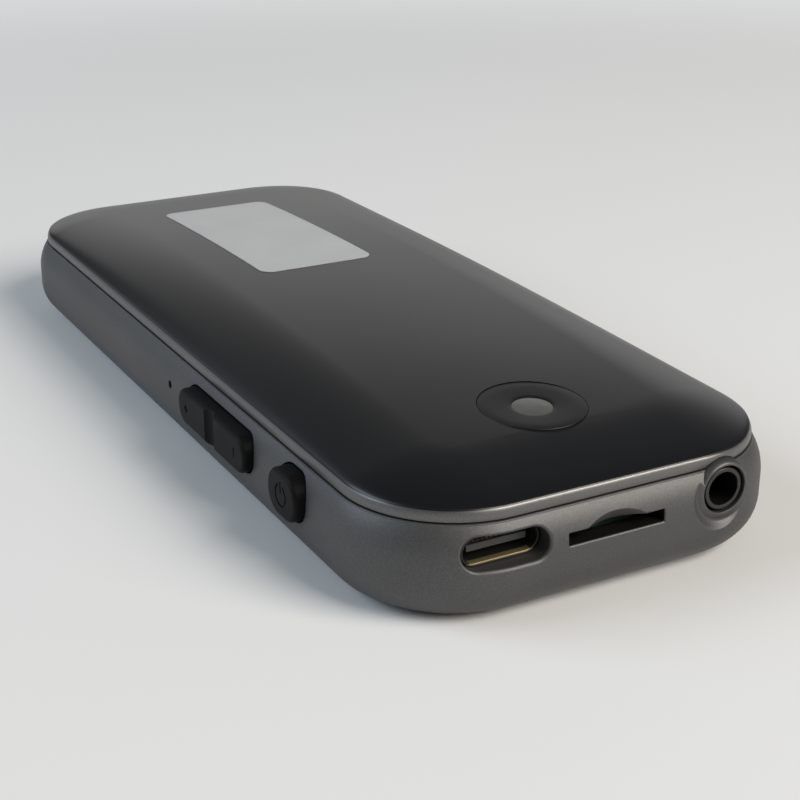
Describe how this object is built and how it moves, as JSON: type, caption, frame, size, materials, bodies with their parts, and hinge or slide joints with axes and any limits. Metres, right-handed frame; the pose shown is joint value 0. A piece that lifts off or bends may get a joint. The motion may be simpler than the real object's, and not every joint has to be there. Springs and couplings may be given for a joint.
{
  "type": "handheld translator",
  "caption": "Slim pocket translator with a screen, a bowed back cover with a camera, ports in one end, a power key and a volume rocker in the side.",
  "frame": {"origin": "centre of the front glass's outer face, on which the part rests", "axes": "+Z out of the back, towards the camera and label; the ports open towards -Y; the side keys stand on -X"},
  "size_m": [0.0511, 0.12, 0.0162],
  "materials": {
    "frame_metal": "satin anodised",
    "cover_plastic": "satin",
    "front_glass": "black backed glass, polished",
    "adhesive": "matt",
    "display": "glossy",
    "foam": "matt foam",
    "flex": "semi-gloss film",
    "plate_metal": "brushed",
    "screw_steel": "turned",
    "board": "semi-gloss solder mask",
    "shield_steel": "tin plated",
    "moulded_black": "matt moulded",
    "contact_gold": "gold plated",
    "key_plastic": "matt",
    "plunger_plastic": "matt",
    "rubber": "matt",
    "camera_trim": "satin black",
    "camera_glass": "polished, tinted",
    "battery_wrap": "laminated foil",
    "mesh_fabric": "woven",
    "label_paper": "matt paper"
  },
  "bodies": {
    "housing": {"frame_shell": "frame_metal", "back_cover": "cover_plastic", "front_glass": "front_glass", "glass_adhesive": "adhesive", "display_panel": "display", "display_foam": "foam", "display_flex": "flex", "middle_plate": "plate_metal", "plate_screws": "screw_steel", "main_board": "board", "board_screws": "screw_steel", "processor_shield": "shield_steel", "radio_shield": "shield_steel", "board_chips": "moulded_black", "board_connectors": "moulded_black", "usb_shell": "shield_steel", "usb_tongue": "moulded_black", "usb_contacts": "contact_gold", "card_socket_base": "moulded_black", "card_socket_cover": "shield_steel", "card_contacts": "contact_gold", "audio_jack": "moulded_black", "jack_terminals": "contact_gold", "power_switch": "shield_steel", "volume_switches": "shield_steel", "key_bracket": "shield_steel", "microphone": "contact_gold", "microphone_boot": "rubber", "camera_ring": "camera_trim", "camera_window": "camera_glass", "camera_module": "moulded_black", "camera_foam": "foam", "camera_flex": "flex", "battery": "battery_wrap", "battery_tape": "adhesive", "battery_foam": "foam", "battery_tab": "flex", "loudspeaker": "moulded_black", "speaker_gasket": "rubber", "speaker_mesh": "mesh_fabric", "speaker_flex": "flex", "antenna_flex": "flex", "label": "label_paper"},
    "power_button": {"power_button": "key_plastic", "power_plunger": "plunger_plastic"},
    "volume_rocker": {"volume_rocker": "key_plastic"},
    "volume_down_plunger": {"volume_down_plunger": "plunger_plastic"},
    "volume_up_plunger": {"volume_up_plunger": "plunger_plastic"}
  },
  "joints": [
    {"name": "power_press", "type": "slide", "parent": "housing", "child": "power_button", "axis": [1, 0, 0], "range_m": [0, 0.0003], "stiffness_N_per_m": 700},
    {"name": "volume_rock", "type": "hinge", "parent": "housing", "child": "volume_rocker", "pos_m": [-0.0219, -0.01825, 0.0074], "axis": [0, 0, 1], "range_deg": [-1.8, 1.8], "stiffness_Nm_per_rad": 0.03},
    {"name": "volume_down_press", "type": "slide", "parent": "housing", "child": "volume_down_plunger", "axis": [1, 0, 0], "range_m": [-0.00021, 0.00021]},
    {"name": "volume_up_press", "type": "slide", "parent": "housing", "child": "volume_up_plunger", "axis": [1, 0, 0], "range_m": [-0.00021, 0.00021]}
  ],
  "couplings": [
    {"joint": "volume_down_press", "follows": "volume_rock", "m_per_rad": 0.0065},
    {"joint": "volume_up_press", "follows": "volume_rock", "m_per_rad": -0.0065}
  ]
}
